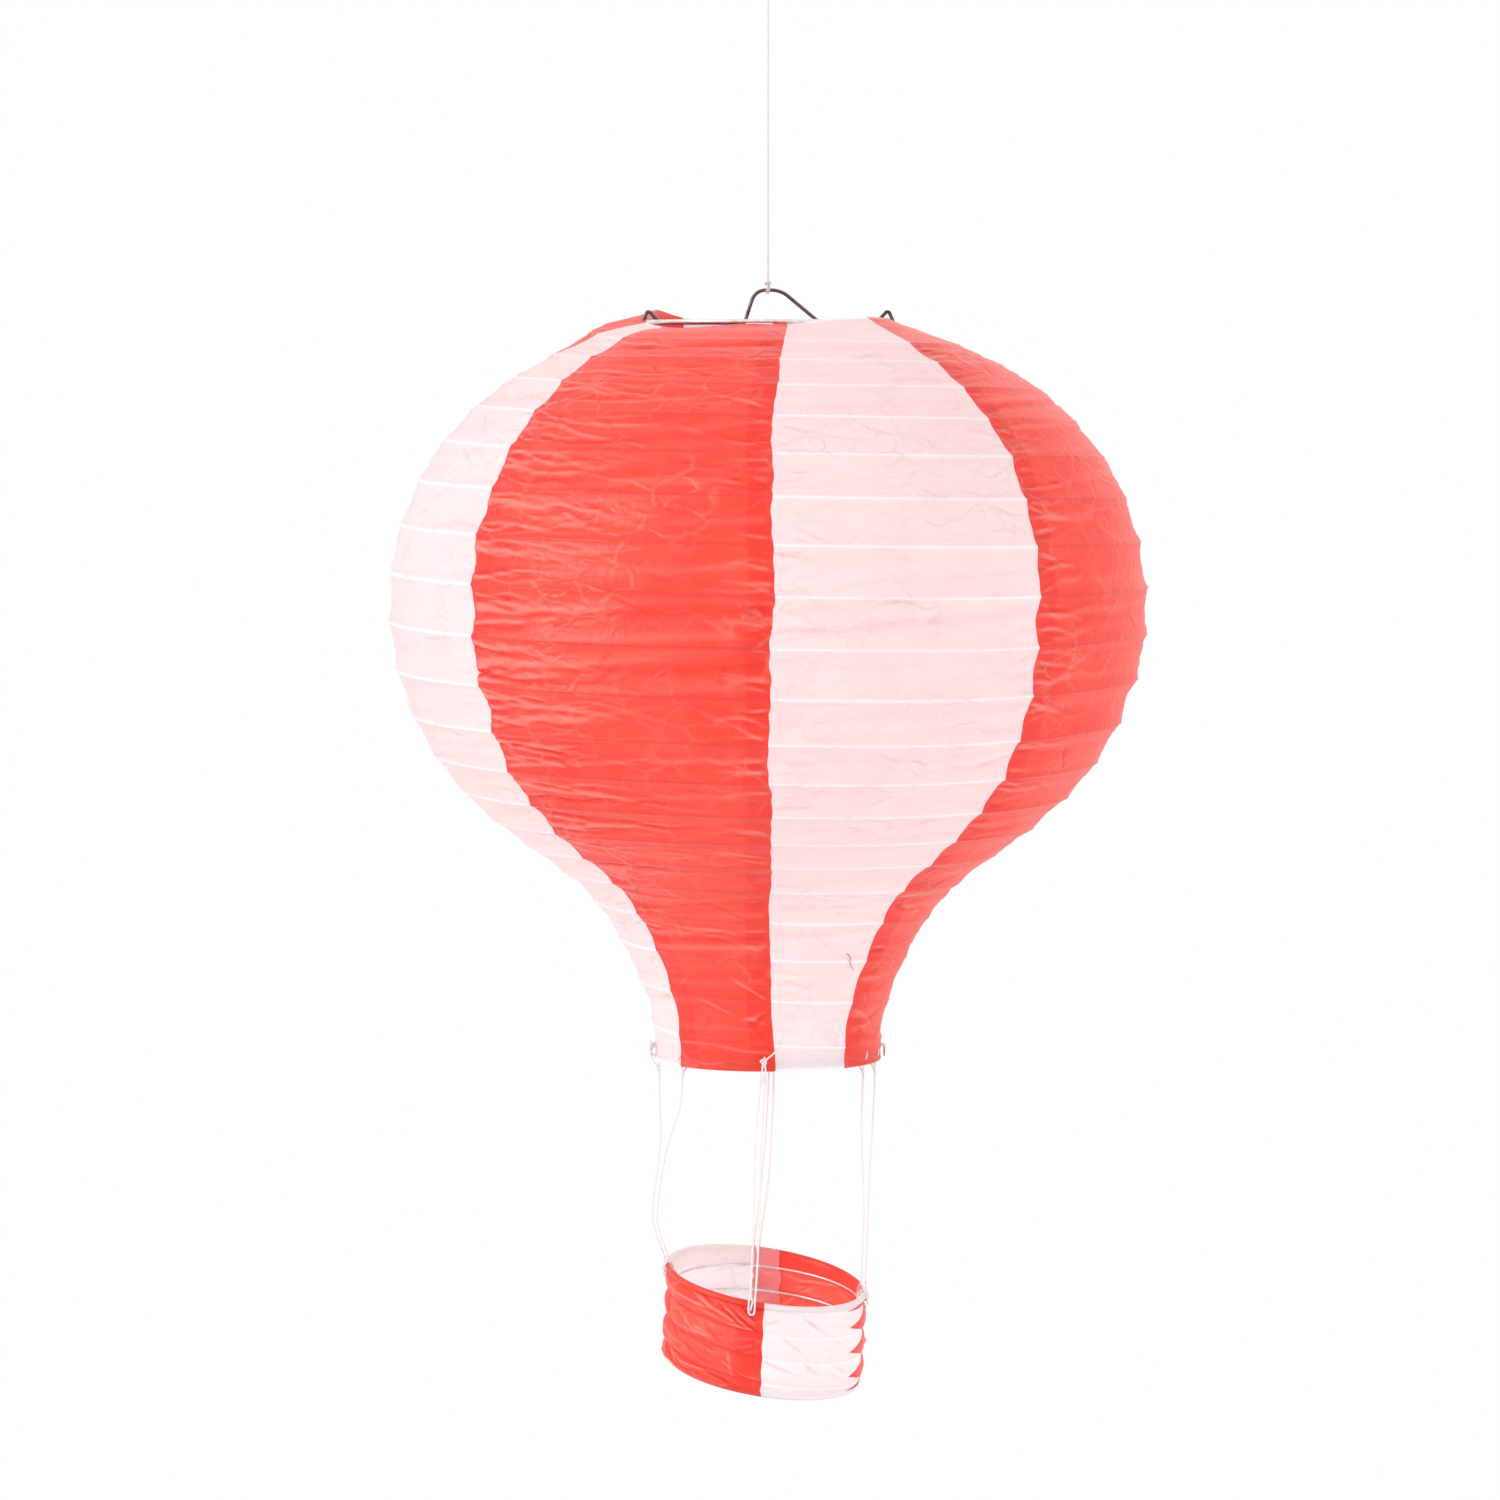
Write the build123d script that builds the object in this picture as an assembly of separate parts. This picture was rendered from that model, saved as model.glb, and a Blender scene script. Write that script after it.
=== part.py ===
"""Hot-air-balloon paper lantern: hook, string, wire expander, paper envelope and hanging paper basket.

Frame: millimetres, +Z up, origin on the ceiling face of the hook, -Y is the front.
"""
from build123d import *
import math
import os

# ---------- driving dimensions (mm) ----------
PAPER = 0.4               # modelled thickness of the paper skins
GORES = 8                 # paper gores round the envelope
BASKET_GORES = 4          # paper gores round the basket

CEILING_WIRE = 1.2        # radius of the ceiling hook's wire
STRING = 0.4              # radius of the hanging string
EXPANDER = 0.7            # radius of the expander's wire
RING_WIRE = 0.75          # radius of the top and neck ring wire
RIB_WIRE = 0.45           # radius of the spiral rib wire
CORD = 0.45               # radius of a basket cord
BASKET_RING_WIRE = 0.6
BASKET_RIB_WIRE = 0.4

HOOK_BOWL_Z = -20.2       # centre line of the hook's lowest point
HUMP_Z = -170.7           # centre line of the expander's hanging hump
TOP_RING_R = 47.3
TOP_RING_Z = -183.2
NECK_RING_R = 43.4
NECK_RING_Z = -470.9
CROSSBAR_Z = -183.6
LEG_TOP_X = 43.4
LEG_FOOT_X = 41.6

# outside of the envelope: radius and height, from the top mouth to the hem of the neck
PROFILE = [
    (48.6, -182.4),
    (101.5, -205.5),
    (135.5, -241.0),
    (150.0, -298.0),
    (135.5, -348.0),
    (103.5, -383.5),
    (72.5, -407.5),
    (53.0, -438.0),
    (45.3, -464.0),
    (44.9, -474.0),
]
RIB_PITCH = 18.2          # spacing of the spiral's turns, measured along the paper
RIB_START = 10.5          # where the spiral starts, from the top mouth, and ends, from the hem
RIB_END = 14.3
RIB_GAP = 0.55            # between the spiral and the paper's inner face

# basket, in its own tilted frame with the rim at z = 0
BASKET_CENTRE = (-0.8, 0.0, -562.4)
BASKET_TILT = (7.5, 8.7, 0.0)     # degrees about X and Y: it hangs low at the front and at the right
BASKET_R = 40.4
BASKET_H = 36.0
BASKET_RING_R = 39.2
BASKET_RIB_PITCH = 10.0
BASKET_RIB_START = 3.8            # the spiral starts this far below the rim and ends this far above the foot
BASKET_RIB_END = 2.2
EYE_R = 1.7                       # centre-line radius of a cord eye round the rim wire
EYES = {"left": 184.0, "front": 262.0, "right": 356.0, "back": 95.0}    # azimuth on the rim

# where each cord is tied to the neck ring, as an azimuth
TIES = {"left_a": 188.0, "left_b": 219.0, "front": 267.9, "right_a": 347.0, "right_b": 330.0, "back": 87.5}
TIE_R = 1.6
BEAD_R = 1.3
TIE_NOTCH = 3.4           # width of the cut in the paper's hem for each tie, wide enough for it to swing

# routes of the basket cords, from the tie on the neck ring to the eye on the rim
ROUTES = {
    "left_a": [(-43.0, -6.0, -473.5), (-43.2, -6.0, -490.0), (-42.2, -5.6, -507.0),
               (-45.2, -4.9, -528.0), (-46.4, -4.3, -541.0), (-40.8, -3.5, -553.5)],
    "left_b": [(-33.7, -27.3, -473.5), (-33.4, -26.5, -488.0), (-37.2, -19.5, -499.0), (-41.0, -9.8, -513.0),
               (-43.4, -7.0, -529.0), (-44.4, -6.0, -541.5), (-39.4, -5.4, -553.3)],
    "front_a": [(-2.3, -43.4, -473.5), (-4.4, -43.0, -491.5), (-5.4, -42.1, -512.0),
                (-5.6, -41.0, -538.0), (-7.0, -39.2, -562.5)],
    "front_b": [(-0.9, -43.4, -473.5), (-2.1, -43.0, -492.0), (-3.1, -42.0, -513.0),
                (-3.4, -41.0, -538.5), (-4.9, -39.2, -562.5)],
    "right_a": [(42.3, -9.8, -473.5), (42.0, -9.4, -492.0), (40.9, -7.4, -508.0),
                (39.9, -5.0, -528.0), (39.4, -3.6, -548.0), (38.7, -2.4, -564.1)],
    "right_b": [(37.6, -21.7, -473.5), (36.9, -20.5, -492.0), (36.9, -15.6, -508.0),
                (37.9, -9.2, -526.0), (38.0, -5.8, -547.0), (36.9, -4.0, -564.1)],
    "back_a": [(1.2, 43.4, -473.5), (0.3, 43.0, -491.5), (-0.9, 42.1, -512.0),
               (-2.9, 40.6, -533.0), (-5.2, 39.0, -552.9)],
    "back_b": [(2.6, 43.4, -473.5), (2.6, 43.0, -491.5), (1.5, 42.1, -512.0),
               (0.2, 40.8, -533.0), (-3.2, 39.0, -552.9)],
}

os.makedirs("parts", exist_ok=True)


def polar(radius, azimuth, z=0.0):
    """A point at an azimuth in degrees, counted from +X towards +Y."""
    angle = math.radians(azimuth)
    return (radius * math.cos(angle), radius * math.sin(angle), z)


def save(solid, name):
    """One node: its STEP file carries the node's name."""
    export_step(solid, f"parts/{name}.step")


def wire_solid(path, radius):
    """A round wire swept along a path of lines and tangent arcs."""
    start = Plane(origin=path @ 0, z_dir=path % 0)
    return sweep(start * Circle(radius), path=path)


def bent_wire(points, radii, radius):
    """A round wire along straight runs joined by arcs."""
    return wire_solid(FilletPolyline(*points, radius=radii), radius)


def ring(radius, wire, z):
    """A closed ring of round wire about the Z axis."""
    return Pos(0, 0, z) * Torus(radius, wire)


def loop_round_ring(ring_radius, azimuth, z, loop_radius, wire):
    """A small thread loop round a ring's wire, square to the ring at one azimuth."""
    turned = Rot(0, 0, azimuth) * Pos(ring_radius, 0, z) * Rot(90, 0, 0)
    return turned * Torus(loop_radius, wire)


def spiral(stations, wire):
    """A spiral of half turns from the +X side: each is a true semicircle from one station to the next."""
    arcs = []
    for step, (here, there) in enumerate(zip(stations[:-1], stations[1:])):
        side = 1 if step % 2 == 0 else -1
        start = Vector(side * here[0], 0, here[1])
        end = Vector(-side * there[0], 0, there[1])
        middle = (start + end) * 0.5 + Vector(0, side * (end - start).length / 2, 0)
        arcs.append(ThreePointArc(start, middle, end))
    return wire_solid(Wire(arcs), wire)


def cord_radii(points):
    """The largest tangent arc that each corner's two runs allow."""
    radii = []
    for before, corner, after in zip(points[:-2], points[1:-1], points[2:]):
        first = Vector(*corner) - Vector(*before)
        second = Vector(*after) - Vector(*corner)
        turn = math.radians(first.get_angle(second))
        radii.append(0.45 * min(first.length, second.length) / math.tan(turn / 2))
    return radii


def skin_face(points, thickness):
    """The section of a paper skin: an outer spline and the same spline moved in by the thickness."""
    inner = []
    last = len(points) - 1
    for index, (radius, z) in enumerate(points):
        before = points[max(index - 1, 0)]
        after = points[min(index + 1, last)]
        along = (after[0] - before[0], after[1] - before[1])
        size = math.hypot(*along)
        inner.append((radius + thickness * along[1] / size, z - thickness * along[0] / size))
    outer_edge = Spline(*[(r, 0, z) for r, z in points])
    inner_edge = Spline(*[(r, 0, z) for r, z in inner])
    ends = [Line(outer_edge @ 0, inner_edge @ 0), Line(outer_edge @ 1, inner_edge @ 1)]
    return Face(Wire([outer_edge, inner_edge, *ends])), inner_edge


# ---------- ceiling hook ----------
def ceiling_hook():
    """A small screw hook: pointed shank, round flange against the ceiling and an open bowl."""
    shank = Pos(0, 0, 6) * Cylinder(CEILING_WIRE + 0.1, 12)
    point = Pos(0, 0, 13.5) * Cone(CEILING_WIRE + 0.1, 0.2, 3)
    flange = Pos(0, 0, -0.8) * Cylinder(5.5, 1.6)
    route = [(0, 0, -1), (0, 0, -6.5), (0, 5.5, -10.5), (0, 5.5, HOOK_BOWL_Z),
             (0, -5.5, HOOK_BOWL_Z), (0, -5.5, -12.5)]
    stem = bent_wire(route, [1.8, 3.0, 5.2, 5.2], CEILING_WIRE)
    return shank + point + flange + stem


# ---------- hanging string ----------
def string_loop():
    """The tied loop over the hook, closed by a knot."""
    half = CEILING_WIRE + STRING + 0.15
    top = HOOK_BOWL_Z + half
    side = [(0.5, 0, -31.0), (half, 0, -26.0), (half, 0, top)]
    route = side + [(-x, y, z) for x, y, z in reversed(side)]
    corner = half - 0.05
    loop = bent_wire(route, [8.0, corner, corner, 8.0], STRING)
    return loop + Pos(0, 0, -31.6) * Sphere(1.25)


def lower_loop():
    """The tight loop round the expander's hump, with its knot just above."""
    loop = Pos(0, 0, HUMP_Z) * Rot(0, 90, 0) * Torus(EXPANDER + STRING + 0.15, STRING)
    return loop + Pos(0, 0, HUMP_Z + 2.7) * Sphere(1.2)


def hanging_string():
    """The straight string between the two knots, free to twist on the lower one."""
    low = HUMP_Z + 2.7
    high = -31.6
    line = Pos(0, 0, (low + high) / 2) * Cylinder(STRING, high - low)
    return line - Pos(0, 0, high) * Sphere(1.25) - Pos(0, 0, low) * Sphere(1.25)


# ---------- wire expander ----------
def expander_side(side):
    """Points from the crossbar's end over and under the top ring, and down to the neck ring."""
    ring_x = TOP_RING_R
    return [(side * x, 0, z) for x, z in [
        (ring_x - 4.7, CROSSBAR_Z),
        (ring_x, TOP_RING_Z + 4.8),
        (ring_x + 2.8, TOP_RING_Z - 1.9),
        (LEG_TOP_X, TOP_RING_Z - 2.0),
        (LEG_FOOT_X, NECK_RING_Z + 2.5),
        (NECK_RING_R + 3.1, NECK_RING_Z + 1.7),
        (NECK_RING_R + 3.1, NECK_RING_Z - 2.6),
    ]]


def expander():
    """One bent wire: feet on the neck ring, legs, shoulders round the top ring and a hanging hump."""
    left = list(reversed(expander_side(-1)))
    right = expander_side(1)
    hump = [(-9.3, 0, CROSSBAR_Z), (-5.0, 0, HUMP_Z), (5.0, 0, HUMP_Z), (20.5, 0, CROSSBAR_Z)]
    shoulder = [0.9, 1.2, 0.9, 0.9, 1.0]
    radii = shoulder + [0.9] + [1.4, 5.6, 10.0, 4.0] + [0.9] + list(reversed(shoulder))
    return bent_wire(left + hump + right, radii, EXPANDER)


# ---------- envelope ----------
def notch(azimuth, radius, low, high, width):
    """A small cut through the paper's edge where a wire or thread passes."""
    return Rot(0, 0, azimuth) * Pos(radius, 0, (low + high) / 2) * Box(9, width, high - low)


def envelope_gores():
    """Eight equal paper gores, cut clear of the expander's wire and of the cord ties."""
    section, inner_edge = skin_face(PROFILE, PAPER)
    cuts = [notch(side, TOP_RING_R + 1, TOP_RING_Z - 4, TOP_RING_Z + 8, 2.4) for side in (0, 180)]
    cuts += [notch(side, NECK_RING_R + 1, NECK_RING_Z - 6, NECK_RING_Z + 4, 2.4) for side in (0, 180)]
    cuts += [notch(tie, NECK_RING_R + 1, NECK_RING_Z - 6, NECK_RING_Z + 4, TIE_NOTCH) for tie in TIES.values()]
    step = 360 / GORES
    colours = ("white", "red")
    for index in range(GORES):
        gore = Rot(0, 0, index * step) * revolve(section, Axis.Z, step)
        for cut in cuts:
            gore = gore - cut
        save(gore, f"envelope_{colours[index % 2]}_{index // 2 + 1}")
    return inner_edge


def rib_stations(inner_edge):
    """Half-turn stations down the inside of the paper, evenly spaced along it."""
    length = inner_edge.length
    run = length - RIB_START - RIB_END
    halves = round(2 * run / RIB_PITCH)
    clearance = RIB_WIRE + RIB_GAP
    stations = []
    for index in range(halves + 1):
        at = RIB_START + run * index / halves
        spot = inner_edge.position_at(at, position_mode=PositionMode.LENGTH)
        along = inner_edge.tangent_at(at, position_mode=PositionMode.LENGTH)
        stations.append((spot.X + clearance * along.Z, spot.Z - clearance * along.X))
    return stations


# ---------- basket cords ----------
def tie(azimuth):
    """A thread loop round the neck ring with its knot hanging below."""
    loop = loop_round_ring(NECK_RING_R, azimuth, NECK_RING_Z, TIE_R, CORD)
    bead = Pos(*polar(NECK_RING_R, azimuth, NECK_RING_Z - TIE_R - 1.1)) * Sphere(BEAD_R)
    return loop + bead


def cord(name, knot):
    """One strand along its route, cut back to the face of its knot."""
    points = ROUTES[name]
    radii = cord_radii(points)
    path = FilletPolyline(*points, radius=radii)
    tube = wire_solid(path, CORD)
    expected = math.pi * CORD ** 2 * path.length
    print(f"cord {name}: length {path.length:.1f}, radii {[round(r, 1) for r in radii]},"
          f" volume ratio {tube.volume / expected:.3f}")
    return tube - knot


# ---------- basket ----------
def basket_location():
    """The basket's own frame, at the rim's centre."""
    return Location(BASKET_CENTRE, BASKET_TILT)


def basket_gores():
    """Four paper gores of the basket's wall, notched for the cord eyes."""
    wall = Rectangle(PAPER, BASKET_H)
    section = Plane.XZ * Pos(BASKET_R - PAPER / 2, -BASKET_H / 2) * wall
    cuts = [notch(eye, BASKET_RING_R, -5, 2, 2.4) for eye in EYES.values()]
    step = 360 / BASKET_GORES
    names = ("back_red", "back_white", "front_red", "front_white")
    for index, name in enumerate(names):
        gore = Rot(0, 0, index * step) * revolve(section, Axis.Z, step)
        for cut in cuts:
            gore = gore - cut
        save(basket_location() * gore, f"basket_{name}")


def basket_spiral():
    """The rib wire inside the basket's paper."""
    run = BASKET_H - BASKET_RIB_START - BASKET_RIB_END
    halves = round(2 * run / BASKET_RIB_PITCH)
    stations = [(BASKET_RING_R, -BASKET_RIB_START - run * index / halves) for index in range(halves + 1)]
    return basket_location() * spiral(stations, BASKET_RIB_WIRE)


def build_all():
    """Write every node."""
    save(ceiling_hook(), "ceiling_hook")
    save(string_loop(), "string_loop")
    save(hanging_string(), "hanging_string")
    save(lower_loop(), "lower_loop")
    save(expander(), "expander")
    save(ring(TOP_RING_R, RING_WIRE, TOP_RING_Z), "top_ring")
    save(ring(NECK_RING_R, RING_WIRE, NECK_RING_Z), "neck_ring")
    inner_edge = envelope_gores()
    save(spiral(rib_stations(inner_edge), RIB_WIRE), "rib_spiral")
    for place, azimuth in TIES.items():
        knot = tie(azimuth)
        save(knot, f"tie_{place}")
        for name in ROUTES:
            if name.startswith(place):
                save(cord(name, knot), f"cord_{name}")
    save(basket_location() * ring(BASKET_RING_R, BASKET_RING_WIRE, -BASKET_RING_WIRE), "basket_rim")
    save(basket_location() * ring(BASKET_RING_R, BASKET_RING_WIRE, BASKET_RING_WIRE - BASKET_H), "basket_base_ring")
    basket_gores()
    save(basket_spiral(), "basket_spiral")
    for place, azimuth in EYES.items():
        eye = loop_round_ring(BASKET_RING_R, azimuth, -BASKET_RING_WIRE, EYE_R, CORD)
        save(basket_location() * eye, f"eye_{place}")


build_all()
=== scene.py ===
"""Looks of a balloon-shaped paper lantern: crinkled paper gores on a spiral wire, twisted cords and a basket.

Frame: +Z up, origin on the ceiling face of the hook, -Y is the front. Sizes below are in millimetres and
azimuths in degrees, counted from +X towards +Y. Everything handed to Blender is in metres.
"""
import math

import bpy
import numpy as np
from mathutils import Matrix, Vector


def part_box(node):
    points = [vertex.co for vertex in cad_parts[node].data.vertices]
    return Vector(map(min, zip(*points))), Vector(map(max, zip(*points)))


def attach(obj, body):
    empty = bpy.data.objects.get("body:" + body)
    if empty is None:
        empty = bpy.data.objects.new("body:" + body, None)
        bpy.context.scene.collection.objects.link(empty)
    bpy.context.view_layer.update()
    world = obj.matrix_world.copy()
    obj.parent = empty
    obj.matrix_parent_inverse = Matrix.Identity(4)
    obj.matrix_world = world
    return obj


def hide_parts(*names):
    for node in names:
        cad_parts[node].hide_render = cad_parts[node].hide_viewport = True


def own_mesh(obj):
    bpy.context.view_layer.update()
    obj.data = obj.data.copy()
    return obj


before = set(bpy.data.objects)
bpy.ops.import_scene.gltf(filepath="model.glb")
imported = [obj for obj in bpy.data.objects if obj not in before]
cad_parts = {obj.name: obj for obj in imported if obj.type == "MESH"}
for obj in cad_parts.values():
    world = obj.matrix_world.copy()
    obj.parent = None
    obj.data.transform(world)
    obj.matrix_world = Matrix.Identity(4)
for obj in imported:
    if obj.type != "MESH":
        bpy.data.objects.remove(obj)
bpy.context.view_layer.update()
MM = 0.001

# ---------- driving dimensions (mm) ----------
STRING_D = 0.8            # hanging string
CORD_D = 0.9              # basket cord
CORD_TWIST = (2, 2.6)     # plies of a basket cord, and the length of one turn of them
STRING_TWIST = (3, 2.4)   # the same for the hanging string
RIB_D = 0.9               # spiral wire in the envelope
BASKET_RIB_D = 0.8        # spiral wire in the basket
GLUE_MARGIN = 9.5         # white paper glued behind the edge of the red
LAYER = 1.1               # how far the glued margin sinks behind the creased red paper
WIRE_DEPTH = 1.1          # from the paper's outer face to the centre of the spiral wire

NECK_RING = (43.4, -470.9)   # its radius and height
# radius and height down the paper's outline from the top edge to the hem, then down what is folded in
PROFILE = [
    (48.6, -182.4), (101.5, -205.5), (135.5, -241.0), (150.0, -298.0), (135.5, -348.0),
    (103.5, -383.5), (72.5, -407.5), (53.0, -438.0), (45.3, -464.0), (44.9, -474.0),
]
TOP_FLAP = [(45.9, -188.0), (45.8, -184.4), (46.2, -182.3), (47.3, -181.8)]
HEM_FLAP = [(44.4, -474.6), (43.3, -474.3), (42.1, -471.6), (42.0, -467.7)]
RIB_START = 10.5          # from the paper's top edge to the start of the wire
RIB_END = 5.2             # from the last turn of the wire to the hem
RIB_TURNS = 20
# seams of the envelope: azimuth at the belly, and how far each drifts at the top and at the neck
SEAMS = [(1.0, -3.0, 0.0), (44.5, 4.0, 1.5), (90.5, -3.0, -1.0), (134.0, 3.0, 1.0),
         (178.5, 8.0, 5.0), (221.0, -11.0, -1.0), (270.2, 8.5, 3.2), (313.4, 9.5, -1.8)]

BASKET_H = 36.0           # from the rim to the foot, along the basket's own axis
BASKET_RIB_START = 3.8
BASKET_RIB_PITCH = 10.0
# the paper's rolled rim and foot: radius, and height from the rim
BASKET_RIMS = [(37.8, -6.0), (37.8, -1.6), (38.1, 0.5), (39.2, 1.2), (40.3, 0.5), (40.3, -0.9)]
BASKET_FEET = [(38.6, -37.0), (37.6, -36.8), (37.0, -35.0), (37.2, -32.0)]
# seams of the basket: azimuth, and how far each zigzags between two turns of the wire
BASKET_SEAMS = [(-4.0, 30.0), (97.5, 1.0), (184.0, 1.5), (269.0, 0.6)]
BASKET_PAPER_R = 38.9     # the paper over the basket's wire
BASKET_TOP = 1.2          # from the rim's own height down to the start of the free paper
BASKET_TURNS = 4          # turns of the basket's wire that the paper may meet
BASKET_MARGINS = (11.0, 8.0, 5.0, 2.0, 0.8)    # mesh columns on a glued margin, from its edge
# The red paper over this much of a margin gets the painted shade of a double layer.
BASKET_DOUBLE = 9.0       # how much of a margin shows through the red paper
BASKET_ROWS = 22          # mesh rows between two turns
BASKET_COLUMNS = 84       # mesh columns across a gore
BASKET_LEAN = 4.2         # how far the foot hangs to the right of the rim's own axis, as it hangs plumb
FOOT_RING = (37.8, -35.6)    # its radius and height
FOOT_RING_D = 1.2
BASKET_NAMES = ("back_red", "back_white", "front_red", "front_white")

# routes of the basket cords, from the tie on the neck ring to the eye on the rim
ROUTES = {
    "left_a": [(-43.0, -6.0, -473.5), (-43.2, -6.0, -490.0), (-42.2, -5.6, -507.0),
               (-45.2, -4.9, -528.0), (-46.4, -4.3, -541.0), (-40.8, -3.5, -553.5)],
    "left_b": [(-33.7, -27.3, -473.5), (-33.4, -26.5, -488.0), (-37.2, -19.5, -499.0), (-41.0, -9.8, -513.0),
               (-43.4, -7.0, -529.0), (-44.4, -6.0, -541.5), (-39.4, -5.4, -553.3)],
    "front_a": [(-2.3, -43.4, -473.5), (-4.4, -43.0, -491.5), (-5.4, -42.1, -512.0),
                (-5.6, -41.0, -538.0), (-7.0, -39.2, -562.5)],
    "front_b": [(-0.9, -43.4, -473.5), (-2.1, -43.0, -492.0), (-3.1, -42.0, -513.0),
                (-3.4, -41.0, -538.5), (-4.9, -39.2, -562.5)],
    "right_a": [(42.3, -9.8, -473.5), (42.0, -9.4, -492.0), (40.9, -7.4, -508.0),
                (39.9, -5.0, -528.0), (39.4, -3.6, -548.0), (38.7, -2.4, -564.1)],
    "right_b": [(37.6, -21.7, -473.5), (36.9, -20.5, -492.0), (36.9, -15.6, -508.0),
                (37.9, -9.2, -526.0), (38.0, -5.8, -547.0), (36.9, -4.0, -564.1)],
    "back_a": [(1.2, 43.4, -473.5), (0.3, 43.0, -491.5), (-0.9, 42.1, -512.0),
               (-2.9, 40.6, -533.0), (-5.2, 39.0, -552.9)],
    "back_b": [(2.6, 43.4, -473.5), (2.6, 43.0, -491.5), (1.5, 42.1, -512.0),
               (0.2, 40.8, -533.0), (-3.2, 39.0, -552.9)],
}
# the body that each strand rides on, which is also the name of its tie
TIES = {"left_a": ["left_a"], "left_b": ["left_b"], "front": ["front_a", "front_b"],
        "right_a": ["right_a"], "right_b": ["right_b"], "back": ["back_a", "back_b"]}
KNOT_OUTSIDE = ("front", "left_a")      # the other ties are knotted inside the hem
EYES = {"left": ["left_a", "left_b"], "front": ["front_a", "front_b"],
        "right": ["right_a", "right_b"], "back": ["back_a", "back_b"]}


# ---------- camera ----------
def make_camera():
    """A long lens a little above the middle of the lantern, level with its shoulder."""
    data = bpy.data.cameras.new("camera")
    data.lens = 139.9
    camera = bpy.data.objects.new("camera", data)
    bpy.context.scene.collection.objects.link(camera)
    camera.location = (-0.0071, -2.3, -0.2016)
    target = Vector((-0.0071, 0, -0.352))
    camera.rotation_euler = (target - camera.location).to_track_quat("-Z", "Y").to_euler()
    bpy.context.scene.camera = camera


# ---------- node helpers ----------
class Nodes:
    """A material's node tree, built with short calls."""

    def __init__(self, name):
        self.material = bpy.data.materials.new(name)
        self.material.use_nodes = True
        self.tree = self.material.node_tree
        self.tree.nodes.clear()

    def add(self, kind, **inputs):
        """A node of a kind. Inputs are values or other nodes' sockets, by name, with _ for a space."""
        node = self.tree.nodes.new(kind)
        for name, value in inputs.items():
            self.plug(node.inputs[name.replace("_", " ")], value)
        return node

    def plug(self, socket, value):
        """A socket takes another socket's output or a plain value. A colour is three numbers."""
        if isinstance(value, bpy.types.NodeSocket):
            self.tree.links.new(value, socket)
        elif socket.type == "RGBA":
            socket.default_value = (*value, 1.0)
        else:
            socket.default_value = value

    def attribute(self, name):
        """A value painted on the mesh's points."""
        node = self.add("ShaderNodeAttribute")
        node.attribute_name = name
        return node.outputs["Fac"]

    def noise(self, scale, detail=3.0, roughness=0.55, where=None):
        """Noise from 0 to 1 at a scale per metre."""
        place = where or self.add("ShaderNodeTexCoord").outputs["Object"]
        node = self.add("ShaderNodeTexNoise", Vector=place, Scale=scale, Detail=detail, Roughness=roughness)
        return node.outputs["Fac"]

    def crumple(self, across, down, width):
        """Thin lines of crumpled paper, from 0 to 1: warped cells so many per metre across and down."""
        place = self.add("ShaderNodeTexCoord").outputs["Object"]
        drift = self.add("ShaderNodeTexNoise", Vector=place, Scale=70.0, Detail=3.0)
        stretch = self.add("ShaderNodeMapping", Vector=place, Scale=(across, across, down))
        warp = self.add("ShaderNodeVectorMath")
        warp.operation = "ADD"
        self.plug(warp.inputs[0], stretch.outputs["Vector"])
        self.plug(warp.inputs[1], drift.outputs["Color"])
        cells = self.add("ShaderNodeTexVoronoi", Vector=warp.outputs["Vector"], Scale=1.0, Randomness=1.0)
        cells.feature = "DISTANCE_TO_EDGE"
        return self.span(cells.outputs["Distance"], 0.0, width, 1.0, 0.0)

    def math(self, operation, first, second=0.0):
        """One sum on numbers."""
        node = self.add("ShaderNodeMath")
        node.operation = operation
        self.plug(node.inputs[0], first)
        self.plug(node.inputs[1], second)
        return node.outputs[0]

    def span(self, value, low, high, to_low=0.0, to_high=1.0):
        """A value moved from one range to another and kept inside it."""
        node = self.add("ShaderNodeMapRange")
        for index, item in enumerate((value, low, high, to_low, to_high)):
            self.plug(node.inputs[index], item)
        return node.outputs[0]

    def mix(self, share, first, second, blend="MIX"):
        """Two colours mixed."""
        node = self.add("ShaderNodeMix")
        node.data_type = "RGBA"
        node.blend_type = blend
        self.plug(node.inputs[0], share)
        self.plug(node.inputs[6], first)
        self.plug(node.inputs[7], second)
        return node.outputs[2]

    def bump(self, height, strength, distance, before=None):
        """Surface relief from a height, its distance in metres."""
        node = self.add("ShaderNodeBump", Height=height, Strength=strength, Distance=distance)
        if before is not None:
            self.plug(node.inputs["Normal"], before)
        return node.outputs["Normal"]

    def finish(self, shader):
        """The tree's output."""
        self.add("ShaderNodeOutputMaterial", Surface=shader)
        return self.material


# ---------- materials ----------
LIGHT_THROUGH = 0.4       # share of the light that goes through one layer of paper


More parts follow.
